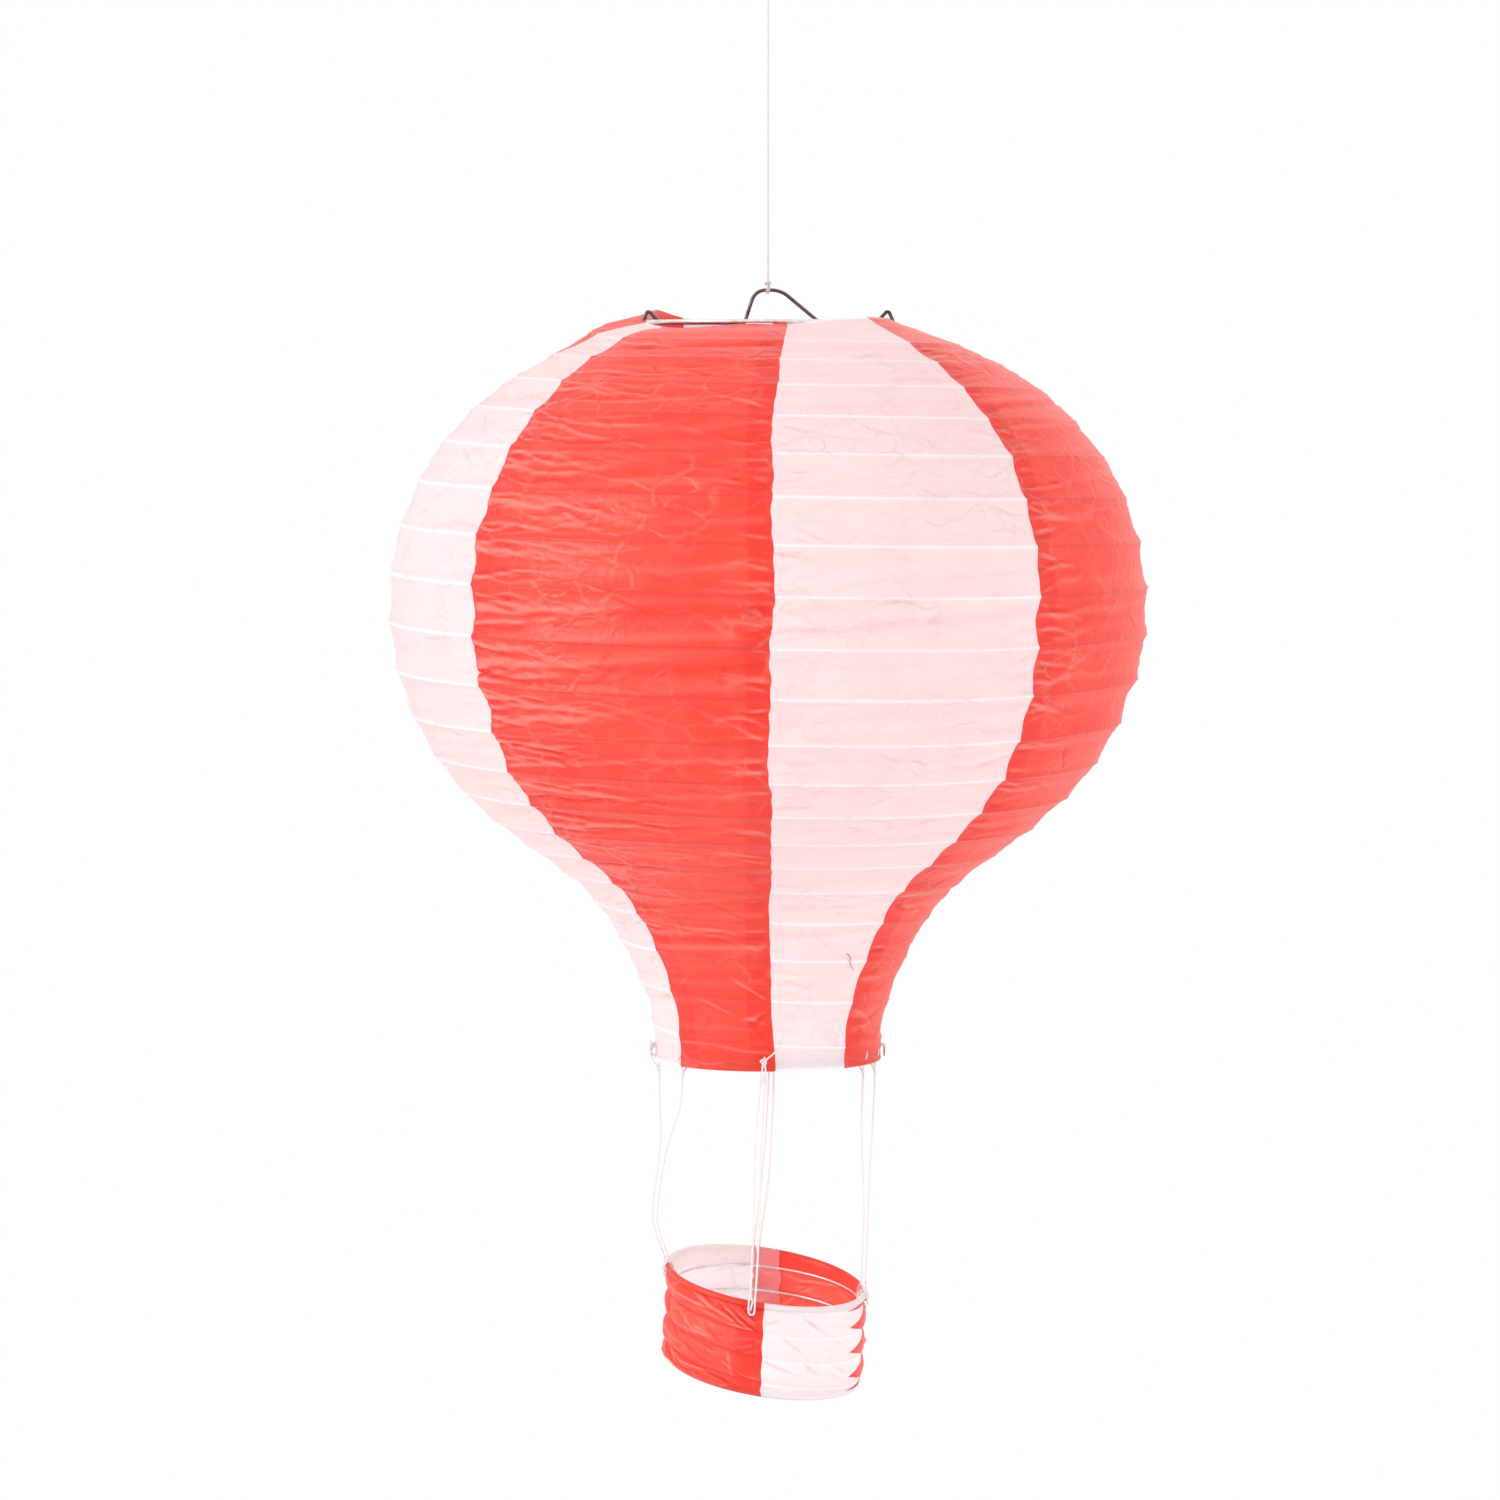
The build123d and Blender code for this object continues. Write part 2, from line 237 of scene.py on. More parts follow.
def paper(name, light, dark, ridge_highlight, valley_shade, rib_painted_shading, under, glow, roughness):
    """Translucent tissue paper: clouded colour, painted highlight on the ridges of creases and painted shade
    in their valleys, lines over the wire with painted highlight on white paper and painted shade on red,
    double layers with painted shade on the red and painted red light on the white, thin crumpled lines in
    relief with painted highlight and shade, and fine fibres."""
    n = Nodes(name)
    rib = n.attribute("rib")
    double = n.attribute("double")
    small = n.math("MULTIPLY", n.noise(55.0, 4.0), 0.45)
    large = n.math("MULTIPLY", n.noise(9.0, 2.0), 0.55)
    cloud = n.math("ADD", small, large)
    fibre = n.noise(1400.0, 5.0, 0.7)
    shade = n.span(n.math("ADD", cloud, n.math("MULTIPLY", fibre, 0.35)), 0.5, 0.85)
    colour = n.mix(shade, light, dark)
    # Double layers: painted shade on red paper, painted red light on the white margins behind the red.
    colour = n.mix(n.math("MULTIPLY", double, 0.75), colour, under)
    crease = n.attribute("crease")
    # Painted highlight on the ridges of creases and painted shade in their valleys.
    colour = n.mix(n.span(crease, 0.05, 0.8, 0.0, 0.7), colour, ridge_highlight)
    colour = n.mix(n.span(crease, -0.05, -0.8, 0.0, 0.75), colour, valley_shade)
    patch = n.span(n.noise(30.0, 2.0), 0.44, 0.66)
    crumple_relief_and_highlight = n.math("MULTIPLY", n.crumple(55.0, 130.0, 0.09), patch)
    crumple_shade = n.math("MULTIPLY", n.crumple(40.0, 95.0, 0.07), n.span(n.noise(24.0, 2.0), 0.48, 0.68))
    # Painted highlight along some crumpled lines, which also give relief, and painted shade along others.
    colour = n.mix(n.math("MULTIPLY", crumple_relief_and_highlight, 0.4), colour, ridge_highlight)
    colour = n.mix(n.math("MULTIPLY", crumple_shade, 0.35), colour, valley_shade)
    # Painted highlight over the wire on white paper and painted shade over it on red paper.
    colour = n.mix(n.math("MULTIPLY", rib, 0.75), colour, rib_painted_shading)

    relief = n.math("ADD", n.math("MULTIPLY", crumple_relief_and_highlight, 0.9), n.math("MULTIPLY", n.noise(300.0, 4.0), 0.8))
    normal = n.bump(relief, 0.7, 0.0007)
    normal = n.bump(fibre, 0.3, 0.00012, normal)

    face = n.add("ShaderNodeBsdfPrincipled", Base_Color=colour, Normal=normal, IOR=1.4)
    n.plug(face.inputs["Roughness"], n.span(cloud, 0.3, 0.7, roughness - 0.06, roughness + 0.08))
    face.inputs["Specular IOR Level"].default_value = 0.8
    face.inputs["Sheen Weight"].default_value = 0.3
    face.inputs["Sheen Roughness"].default_value = 0.4
    back = n.add("ShaderNodeBsdfTranslucent", Normal=normal)
    # Light through a double layer takes the same painted tint.
    n.plug(back.inputs["Color"], n.mix(n.math("MULTIPLY", double, 0.6), glow, under))
    less = n.math("ADD", n.math("MULTIPLY", rib, 0.6), n.math("MULTIPLY", double, 0.3))
    share = n.math("MULTIPLY", n.math("SUBTRACT", 1.0, less), LIGHT_THROUGH)
    share = n.math("MAXIMUM", share, 0.05)
    both = n.add("ShaderNodeMixShader", Fac=share)
    n.plug(both.inputs[1], face.outputs[0])
    n.plug(both.inputs[2], back.outputs[0])
    return n.finish(both.outputs[0])


def wire(name, colour, worn, roughness, metal=1.0, foot=None):
    """Drawn wire with faint streaks and tarnished patches. A foot colour is for its ends near the hem."""
    n = Nodes(name)
    patch = n.span(n.noise(260.0, 4.0), 0.42, 0.7)
    streak = n.noise(1800.0, 2.0)
    tone = n.mix(patch, colour, worn)
    if foot is not None:
        place = n.add("ShaderNodeSeparateXYZ", Vector=n.add("ShaderNodeTexCoord").outputs["Object"])
        tone = n.mix(n.span(place.outputs["Z"], -0.40, -0.455), tone, foot)
    face = n.add("ShaderNodeBsdfPrincipled", Metallic=metal)
    n.plug(face.inputs["Base Color"], tone)
    n.plug(face.inputs["Roughness"], n.span(streak, 0.3, 0.7, roughness - 0.08, roughness + 0.12))
    n.plug(face.inputs["Normal"], n.bump(streak, 0.2, 0.00005))
    return n.finish(face.outputs[0])


def thread(name, colour, shadow):
    """White cotton: matt, with fine fibres and a little light through it."""
    n = Nodes(name)
    fibre = n.noise(3500.0, 4.0, 0.7)
    tone = n.mix(n.span(fibre, 0.35, 0.7), shadow, colour)
    face = n.add("ShaderNodeBsdfPrincipled", Base_Color=tone, Roughness=0.8)
    face.inputs["Sheen Weight"].default_value = 0.25
    n.plug(face.inputs["Normal"], n.bump(fibre, 0.5, 0.0001))
    back = n.add("ShaderNodeBsdfTranslucent", Color=colour)
    both = n.add("ShaderNodeMixShader", Fac=0.3)
    n.plug(both.inputs[1], face.outputs[0])
    n.plug(both.inputs[2], back.outputs[0])
    return n.finish(both.outputs[0])


def plain(name, colour, roughness):
    """A matt surface with the faintest mottling, for the floor."""
    n = Nodes(name)
    darker = tuple(0.97 * part for part in colour)
    tone = n.mix(n.span(n.noise(3.0), 0.3, 0.7), colour, darker)
    face = n.add("ShaderNodeBsdfPrincipled", Base_Color=tone, Roughness=roughness)
    return n.finish(face.outputs[0])


# under is the double-layer colour: painted red light on the white margins, painted shade on the red paper.
WHITE_PAPER = paper(
    "white_paper", light=(0.99, 0.955, 0.98), dark=(0.975, 0.84, 0.85), ridge_highlight=(1.0, 0.99, 1.0),
    valley_shade=(0.90, 0.66, 0.70), rib_painted_shading=(1.0, 0.98, 1.0), under=(0.94, 0.09, 0.08), glow=(0.985, 0.94, 0.95),
    roughness=0.5)
RED_PAPER = paper(
    "red_paper", light=(0.975, 0.105, 0.062), dark=(0.955, 0.05, 0.026), ridge_highlight=(1.0, 0.36, 0.29),
    valley_shade=(0.74, 0.010, 0.006), rib_painted_shading=(0.80, 0.018, 0.010), under=(0.91, 0.034, 0.016),
    glow=(0.98, 0.12, 0.08), roughness=0.42)
PAPERS = {"white": WHITE_PAPER, "red": RED_PAPER}
STEEL = wire("steel_wire", (0.16, 0.13, 0.13), (0.07, 0.055, 0.05), 0.34, foot=(0.78, 0.76, 0.75))
PALE_WIRE = wire("pale_wire", (0.85, 0.84, 0.84), (0.62, 0.6, 0.59), 0.4, metal=0.8)
BRASS = wire("plated_hook", (0.83, 0.66, 0.34), (0.6, 0.45, 0.22), 0.28)
STRING_THREAD = thread("string_thread", (0.93, 0.86, 0.88), (0.8, 0.66, 0.69))
CORD_THREAD = thread("cord_thread", (0.97, 0.93, 0.93), (0.88, 0.79, 0.79))
RED_FIBRE = thread("red_fibre", (0.75, 0.10, 0.10), (0.55, 0.05, 0.05))


# ---------- mesh helpers ----------
def stand_in(name, mesh, material, body, node):
    """A piece that rides on a body and stands for one CAD node."""
    piece = link(name, mesh, material)
    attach(piece, body)
    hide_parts(node)
    return piece


def link(name, mesh, material):
    """A mesh as an object with one material, shaded smooth."""
    mesh.materials.append(material)
    mesh.shade_smooth()
    piece = bpy.data.objects.new(name, mesh)
    bpy.context.scene.collection.objects.link(piece)
    return piece


def grid_mesh(name, points, closed_rows=False):
    """A mesh from a grid of points in metres: rows by columns, joined at the ends of each row if closed."""
    rows, columns = points.shape[:2]
    index = np.arange(rows * columns).reshape(rows, columns)
    beside = np.roll(index, -1, axis=1) if closed_rows else index[:, 1:]
    here = index if closed_rows else index[:, :-1]
    quads = np.stack([here[:-1], here[1:], beside[1:], beside[:-1]], axis=-1).reshape(-1, 4)
    mesh = bpy.data.meshes.new(name)
    mesh.from_pydata(points.reshape(-1, 3).tolist(), [], quads.tolist())
    return mesh


def paint(mesh, name, values):
    """Values on a mesh's points, for its material."""
    layer = mesh.attributes.new(name, "FLOAT", "POINT")
    layer.data.foreach_set("value", values.astype(np.float32).ravel())


def evenly(line, step):
    """Points the same step apart along a line."""
    along = np.concatenate([[0], np.cumsum(np.linalg.norm(np.diff(line, axis=0), axis=1))])
    at = np.linspace(0, along[-1], max(3, round(along[-1] / step) + 1))
    return np.stack([np.interp(at, along, line[:, k]) for k in range(line.shape[1])], axis=1)


def through(points, step):
    """A smooth line that passes through a few points: a natural cubic, spaced evenly."""
    points = np.array(points, float)
    along = np.concatenate([[0], np.cumsum(np.linalg.norm(np.diff(points, axis=0), axis=1))])
    gaps = np.diff(along)
    count = len(points)
    matrix = np.eye(count)
    side = np.zeros(points.shape)
    for i in range(1, count - 1):
        matrix[i, i - 1:i + 2] = gaps[i - 1], 2 * (gaps[i - 1] + gaps[i]), gaps[i]
        side[i] = 6 * ((points[i + 1] - points[i]) / gaps[i] - (points[i] - points[i - 1]) / gaps[i - 1])
    bend = np.linalg.solve(matrix, side)
    at = np.linspace(0, along[-1], 3000)
    i = np.clip(np.searchsorted(along, at, side="right") - 1, 0, count - 2)
    gap = gaps[i][:, None]
    late = (at - along[i])[:, None] / gap
    early = 1 - late
    curve = (early ** 3 - early) * bend[i] + (late ** 3 - late) * bend[i + 1]
    return evenly(early * points[i] + late * points[i + 1] + curve * gap ** 2 / 6, step)


def steered(points):
    """A smooth line in metres, steered by a route's points: a NURBS spline read back as close points."""
    data = bpy.data.curves.new("route", "CURVE")
    data.dimensions = "3D"
    spline = data.splines.new("NURBS")
    spline.points.add(len(points) - 1)
    for spot, (x, y, z) in zip(spline.points, points):
        spot.co = (x * MM, y * MM, z * MM, 1)
    spline.order_u = 3
    spline.use_endpoint_u = True
    data.resolution_u = 32
    route = bpy.data.objects.new("route", data)
    mesh = bpy.data.meshes.new_from_object(route)
    line = np.array([v.co for v in mesh.vertices], float)
    bpy.data.objects.remove(route)
    bpy.data.curves.remove(data)
    bpy.data.meshes.remove(mesh)
    return line


def tube(line, radius, plies=1, lay=4.0, around=12, closed=False):
    """Ring points round a line in metres. With plies, the section has that many lobes, which turn once in
    each lay (mm)."""
    forward = np.roll(line, -1, axis=0) - np.roll(line, 1, axis=0)
    if not closed:
        forward[0] = line[1] - line[0]
        forward[-1] = line[-1] - line[-2]
    forward /= np.linalg.norm(forward, axis=1)[:, None]
    side = np.cross(forward[0], (0.31, 0.52, 0.79))
    sides = []
    for direction in forward:
        side = side - direction * (side @ direction)
        side = side / np.linalg.norm(side)
        sides.append(side)
    sides = np.array(sides)
    ups = np.cross(forward, sides)
    along = np.concatenate([[0], np.cumsum(np.linalg.norm(np.diff(line, axis=0), axis=1))])
    angle = np.linspace(0, 2 * math.pi, around, endpoint=False)
    size = np.full((len(line), around), radius)
    if plies > 1:
        twist = along[:, None] / (lay * MM) * 2 * math.pi
        lobe = np.abs(np.cos((angle[None] - twist) * plies / 2))
        size = radius * (0.72 + 0.28 * lobe)
    spin = angle[None, :, None]
    ring = sides[:, None] * np.cos(spin) + ups[:, None] * np.sin(spin)
    return line[:, None] + ring * size[..., None]


def tubes_mesh(name, parts):
    """One mesh of several tubes with round ends. A part is (ring points, whether it closes on itself)."""
    points = []
    faces = []
    for rings, closed in parts:
        base = len(points)
        count, around = rings.shape[:2]
        points.extend(rings.reshape(-1, 3).tolist())
        for i in range(count if closed else count - 1):
            for j in range(around):
                here, after = i * around, ((i + 1) % count) * around
                right = (j + 1) % around
                faces.append((base + here + j, base + here + right, base + after + right, base + after + j))
        if not closed:
            faces.append(tuple(base + j for j in reversed(range(around))))
            faces.append(tuple(base + (count - 1) * around + j for j in range(around)))
    mesh = bpy.data.meshes.new(name)
    mesh.from_pydata(points, [], faces)
    return mesh


# ---------- cords ----------
def strand(name, body):
    """A twisted basket strand on its route, with the mesh tube's own centre line."""
    line = evenly(steered(ROUTES[name]), 0.25 * MM)
    mesh = tubes_mesh(f"strand_{name}", [(tube(line, CORD_D / 2 * MM, *CORD_TWIST), False)])
    piece = stand_in(f"strand_{name}", mesh, CORD_THREAD, body, f"cord_{name}")
    return piece, line


def trefoil(centre, size, turn, tilt):
    """The centre line of a small overhand knot, in millimetres."""
    t = np.linspace(0, 2 * math.pi, 72, endpoint=False)
    wide = np.sin(t) + 2 * np.sin(2 * t)
    deep = -1.1 * np.sin(3 * t)
    tall = np.cos(t) - 2 * np.cos(2 * t)
    knot = np.stack([wide, deep, tall], axis=1)
    c, s = math.cos(tilt), math.sin(tilt)
    knot = knot @ np.array([[c, 0, s], [0, 1, 0], [-s, 0, c]])
    c, s = math.cos(turn), math.sin(turn)
    knot = knot @ np.array([[c, s, 0], [-s, c, 0], [0, 0, 1]])
    return np.array(centre) + size / 3 * knot


def cord_tie(name, strands):
    """A thread looped round the neck ring, knotted inside or outside the hem, with a short tail."""
    low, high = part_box(f"tie_{name}")
    middle = (low + high) / 2 / MM
    azimuth = math.atan2(middle.y, middle.x)
    out = np.array([math.cos(azimuth), math.sin(azimuth), 0])
    along = np.array([-math.sin(azimuth), math.cos(azimuth), 0])
    up = np.array([0, 0, 1.0])
    ring = out * NECK_RING[0] + up * NECK_RING[1]
    outside = name in KNOT_OUTSIDE
    side = out if outside else -out
    reach = 2.9 if outside else 1.4
    t = np.linspace(0, 2 * math.pi, 49)[:-1]
    loop = ring + side * (reach - 1.4) * 0.5 + np.outer(reach * np.cos(t), out)
    loop = loop + np.outer(1.9 * np.sin(t), up) + np.outer(0.5 * np.sin(2 * t), along)
    knot_at = ring + side * (reach + 0.6) + up * 0.6
    radius = CORD_D / 2 * 0.92 * MM
    turn = azimuth + math.pi / 2
    parts = [(tube(loop * MM, radius, *CORD_TWIST, closed=True), True)]
    parts.append((tube(trefoil(knot_at, 1.25, turn, 0.5) * MM, radius, *CORD_TWIST, closed=True), True))
    tail = [knot_at + along * 0.4, knot_at + along * 1.8 + up * 1.6 + side * 0.6,
            knot_at + along * 3.4 + up * 2.6 + side * 0.4, knot_at + along * 4.6 + up * 4.2 + side * 0.7]
    parts.append((tube(evenly(steered(tail), 0.2 * MM), radius * 0.8, *CORD_TWIST), False))
    for strand_name in strands:
        end = np.array(ROUTES[strand_name][0])
        away = np.dot(end - ring, along)
        leg = [knot_at + along * away * 0.4, knot_at + along * away * 0.8 - up * 1.6,
               ring + along * away + side * 2.2 - up * 4.6, end - up * 3.4 + side * 0.5, end - up * 6.0]
        parts.append((tube(evenly(steered(leg), 0.25 * MM), radius, *CORD_TWIST), False))
    mesh = tubes_mesh(f"knot_{name}", parts)
    return stand_in(f"knot_{name}", mesh, CORD_THREAD, f"cord_{name}", f"tie_{name}")


def cord_eye(name, strands):
    """The bight of the cord at the basket's rim: a U over the outside and a turn round the rim wire."""
    low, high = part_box(f"eye_{name}")
    centre = np.array((low + high) / 2) / MM
    rim_low, rim_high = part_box("basket_rim")
    rim = np.array((rim_low + rim_high) / 2) / MM
    out = centre - rim
    out[2] = 0
    out /= np.linalg.norm(out)
    along = np.cross((0, 0, 1.0), out)
    up = np.array([0, 0, 1.0])
    ends = [np.array(ROUTES[strand_name][-1]) for strand_name in strands]
    bottom = centre + out * 1.9 - up * 3.4
    half = 1.25 if np.dot(ends[0] - ends[1], along) > 0 else -1.25
    bight = [ends[0] + up * 0.4, ends[0] * 0.4 + (centre + along * half + out * 1.9) * 0.6 + up * 0.8,
             bottom + along * half + up * 1.6, bottom + along * half * 0.7,
             bottom - along * half * 0.7, bottom - along * half + up * 1.6,
             ends[1] * 0.4 + (centre - along * half + out * 1.9) * 0.6 + up * 0.8, ends[1] + up * 0.4]
    t = np.linspace(0, 2 * math.pi, 41)[:-1]
    turn = centre + np.outer(2.0 * np.cos(t), out) + np.outer(2.0 * np.sin(t), up)
    turn = turn + np.outer(0.5 * np.sin(t), along)
    radius = CORD_D / 2 * 0.95 * MM
    parts = [(tube(evenly(steered(bight), 0.2 * MM), radius, *CORD_TWIST), False),
             (tube(turn * MM, radius, *CORD_TWIST, closed=True), True)]
    mesh = tubes_mesh(f"bight_{name}", parts)
    stand_in(f"bight_{name}", mesh, CORD_THREAD, "basket", f"eye_{name}")


def basket_cords():
    """Eight strands, six ties and four bights."""
    for name, strands in EYES.items():
        cord_eye(name, strands)
    for tie_name, strands in TIES.items():
        knot = cord_tie(tie_name, strands)
        for name in strands:
            piece, line = strand(name, f"cord_{tie_name}")


def hanging_cord():
    """The string from the ceiling hook to the expander's hump, with its loop and knot at each end."""
    string_low, string_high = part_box("hanging_string")
    top = string_high.z / MM + 0.8
    bottom = string_low.z / MM - 0.8
    route = [(0, 0, top * (1 - share) + bottom * share) for share in (0, 0.34, 0.67, 1)]
    line = evenly(steered(route), 0.2 * MM)
    radius = STRING_D / 2 * MM
    mesh = tubes_mesh("string", [(tube(line, radius, *STRING_TWIST), False)])
    piece = stand_in("string", mesh, STRING_THREAD, "string", "hanging_string")

    loop_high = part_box("string_loop")[1]
    crest = loop_high.z / MM - STRING_D / 2
    half = loop_high.x / MM - STRING_D / 2
    loop = [(0.2, 0, top), (0.9, 0.3, top + 2.2), (half, 0.2, top + 6.0), (half, 0.1, crest - 1.6),
            (half * 0.9, 0, crest + 0.3), (-half * 0.9, 0, crest + 0.3), (-half, -0.1, crest - 1.6),
            (-half, -0.2, top + 6.0), (-0.9, -0.3, top + 2.2), (-0.2, 0, top)]
    knot = trefoil((0, 0, top + 0.4), 1.15, 0.4, 0.3)
    parts = [(tube(evenly(steered(loop), 0.2 * MM), radius, *STRING_TWIST), False),
             (tube(knot * MM, radius, *STRING_TWIST, closed=True), True)]
    tail = [(0.3, 0.2, top + 0.6), (1.6, 0.9, top - 0.6), (2.6, 1.3, top - 3.4), (2.5, 1.5, top - 7.5)]
    parts.append((tube(evenly(steered(tail), 0.2 * MM), radius * 0.85, *STRING_TWIST), False))
    mesh = tubes_mesh("string_top_loop", parts)
    top_loop = stand_in("string_top_loop", mesh, STRING_THREAD, "string", "string_loop")

    wire_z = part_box("lower_loop")[0].z / MM + STRING_D / 2 + 1.25
    t = np.linspace(0, 2 * math.pi, 41)[:-1]
    wraps = []
    for shift in (-0.42, 0.42):
        turn = np.stack([shift + 0.25 * np.sin(t), 1.15 * np.cos(t), wire_z + 1.15 * np.sin(t)], axis=1)
        wraps.append((tube(turn * MM, radius * 0.95, *STRING_TWIST, closed=True), True))
    knot = trefoil((0, 0, wire_z + 2.4), 1.1, 0.2, 0.2)
    wraps.append((tube(knot * MM, radius, *STRING_TWIST, closed=True), True))
    mesh = tubes_mesh("string_low_loop", wraps)
    low_loop = stand_in("string_low_loop", mesh, STRING_THREAD, "string_end", "lower_loop")


# ---------- envelope ----------
OUTLINE = through(PROFILE, 0.25)
ALONG = np.concatenate([[0], np.cumsum(np.linalg.norm(np.diff(OUTLINE, axis=0), axis=1))])
PAPER_LENGTH = ALONG[-1]
DIRECTION = np.gradient(OUTLINE, ALONG, axis=0)
RIB_PITCH = (PAPER_LENGTH - RIB_START - RIB_END) / RIB_TURNS
BELLY = 165.0             # distance down the paper of its widest stretch
ROWS = 24                 # mesh rows between two turns of the wire
COLUMNS = 74              # mesh columns across a gore
MARGINS = (GLUE_MARGIN, 7.0, 4.5, 2.2, 0.8)    # mesh columns on a glued margin, from its edge


def at_height(table, distance):
    """A column of a table of the outline, read at distances down the paper."""
    return np.interp(distance, ALONG, table)


def seam(index, distance):
    """The azimuth of a seam at distances down the paper."""
    azimuth, at_top, at_neck = SEAMS[index % len(SEAMS)]
    drift = at_top * np.exp(-distance / 35) + at_neck * np.exp((distance - PAPER_LENGTH) / 32)
    wander = 0.3 * np.sin(distance / 19 + 2.1 * index) + 0.2 * np.sin(distance / 7.3 + index)
    wander = wander + 0.16 * np.sin(distance / 2.3 + 3 * index) * np.sin(distance / 5.1 + index)
    return azimuth + 360 * (index // len(SEAMS)) + drift + wander


def envelope_point(distance, azimuth, out):
    """Points on the envelope in metres, from distance down the paper, azimuth and how far out they stand."""
    down = at_height(DIRECTION[:, 1], distance)
    away = at_height(DIRECTION[:, 0], distance)
    radius = at_height(OUTLINE[:, 0], distance) - out * down
    height = at_height(OUTLINE[:, 1], distance) + out * away
    turn = np.radians(azimuth)
    height = height + rim_lift(azimuth, distance)
    return np.stack([radius * np.cos(turn), radius * np.sin(turn), height], axis=-1) * MM


def bell(value, centre, width):
    """A smooth bump of height 1."""
    return np.exp(-((value - centre) / width) ** 2)


def rim_lift(azimuth, distance):
    """How far the paper's top edge stands up or is pulled down round the ring, fading out down the paper."""
    near = np.clip(1 - distance / 17, 0, 1) ** 2
    raised = np.interp(distance, (0, 18, 28, 42), (3.9, 5.4, 3.8, 0))
    pulled = 3.9 * bell(azimuth, 225, 42) + 1.7 * bell(azimuth, 278, 16)
    return bell(azimuth, 160, 19) * raised - (pulled - 0.4 * bell(azimuth, 322, 20)) * near


def droop(distance, azimuth):
    """How far the wire's turns sag down the paper on the front and the left, where the belly is slack."""
    turn = azimuth % 360
    slack = np.clip(np.minimum((360 - turn) / 70, turn / 150), 0, 1)
    return 5.6 * bell(distance, 208, 66) * slack * slack * (3 - 2 * slack)


def hollow(azimuth, distance, band, phase):
    """How deep the paper sinks between two turns of the wire."""
    depth = 0.55 + 1.35 * bell(distance, 178, 62) + 0.25 * bell(distance, 270, 50)
    uneven = 1 + 0.22 * np.sin(np.radians(azimuth) * (2 + band % 3) + phase[band])
    return depth * uneven


def crease(across, share, height, rng, reach, strength, width):
    """One fold that starts at a seam and dies away: across is the distance from the seam, share the place
    between two turns of the wire."""
    start = rng.choice([rng.uniform(0.06, 0.35), rng.uniform(0.65, 0.94), rng.uniform(0.1, 0.9)])
    slope = (0.5 - start) * rng.uniform(0.0, 1.6) + rng.normal(0, 0.25)
    length = reach * rng.uniform(0.4, 1.0)
    centre = start + slope * across / reach + 0.05 * np.sin(across / rng.uniform(3, 9) + rng.uniform(0, 6))
    fade = np.clip(1 - across / length, 0, 1) ** 0.7
    cut = np.exp(-((share - centre) * height / width) ** 2)
    return strength * fade * cut


def mark(across, down, rng, width_of_gore, strength):
    """A short fold in the middle of the paper, at any slant."""
    x = rng.uniform(0.12, 0.88) * width_of_gore
    y = rng.uniform(3, 15)
    slant = rng.normal(0, 0.5)
    u = (across - x) * math.cos(slant) + (down - y) * math.sin(slant)
    v = -(across - x) * math.sin(slant) + (down - y) * math.cos(slant)
    return strength * np.exp(-(u / rng.uniform(3, 9)) ** 2 - (v / 0.7) ** 2)


def held_lines(azimuth_at):
    """Where each column is held: at its top edge, over each turn of the wire and at the hem."""
    columns = azimuth_at(np.zeros(1)).shape[-1]
    lines = np.zeros((RIB_TURNS + 2, columns))
    lines[-1] = PAPER_LENGTH
    turns = np.arange(RIB_TURNS)[:, None]
    lines[1:-1] = RIB_START + RIB_PITCH * (turns + 0.5)
    for _ in range(4):
        azimuth = azimuth_at(lines[1:-1])
        even = RIB_START + RIB_PITCH * (turns + azimuth / 360)
        lines[1:-1] = even + droop(even, azimuth)
    return lines


def rows_between(count):
    """Shares of the way from one turn of the wire to the next, a little closer together near the wire."""
    even = np.arange(count) / count
    return 0.5 * even + 0.5 * (0.5 - 0.5 * np.cos(np.pi * even))


def columns_across(count, margins):
    """Each mesh column's share of the way from seam to seam, and how far it lies beyond one on a margin."""
    margins = np.array(margins, float)
    share = np.concatenate([np.zeros(len(margins)), np.linspace(0, 1, count), np.ones(len(margins))])
    beyond = np.concatenate([-margins, np.zeros(count), margins[::-1]])
    return share, beyond


def stacked(bands, end):
    """Each grid of the bands, one band above the next, with one last row."""
    return [np.vstack([*grids, row]) for grids, row in zip(zip(*bands), end)]


def seam_gaps(index, distance, azimuth):
    """How far places on a gore are from its left and right seams, less than 0 on a glued margin."""
    radius = at_height(OUTLINE[:, 0], distance)
    left = np.radians(azimuth - seam(index, distance)) * radius
    right = np.radians(seam(index + 1, distance) - azimuth) * radius
    return left, right


def band_folds(across, back, share, top, height, wrinkle, rng):
    """The folds between two turns of the wire: some from each seam, some in the middle, and a fine ripple."""
    down = top + share * height
    belly = 0.15 + 0.85 * float(bell(down.mean(), BELLY, 80))
    folds = np.zeros_like(down)
    for (count, reach, strength), near in zip(wrinkle, (across, back)):
        for _ in range(rng.poisson(count * belly)):
            deep = strength * rng.choice([-1, 1, 1]) * rng.uniform(0.4, 1.0)
            folds += crease(near, share, height, rng, reach, deep, rng.uniform(0.5, 0.95))
    for _ in range(rng.poisson(9)):
        folds += mark(across, down - top, rng, float((across + back).max()), rng.normal(0, 0.34))
    ripple = sum(rng.normal(0, 0.075) * np.sin(down / rng.uniform(0.9, 2.6) + across / rng.uniform(15, 60)
                                               + rng.uniform(0, 6)) for _ in range(6))
    return folds + ripple


def crease_shading_mask(folds, step):
    """How much the paper stands out as a ridge or sinks as a valley, from -1 to 1, on rows a step apart: the
    mask for painted highlight on ridges and painted shade in valleys.
    """
    bend = -np.gradient(np.gradient(folds, axis=0), axis=0) / step ** 2
    return np.clip(folds / 0.5, -1, 1) * 0.45 + np.clip(bend, -1, 1) * 0.55


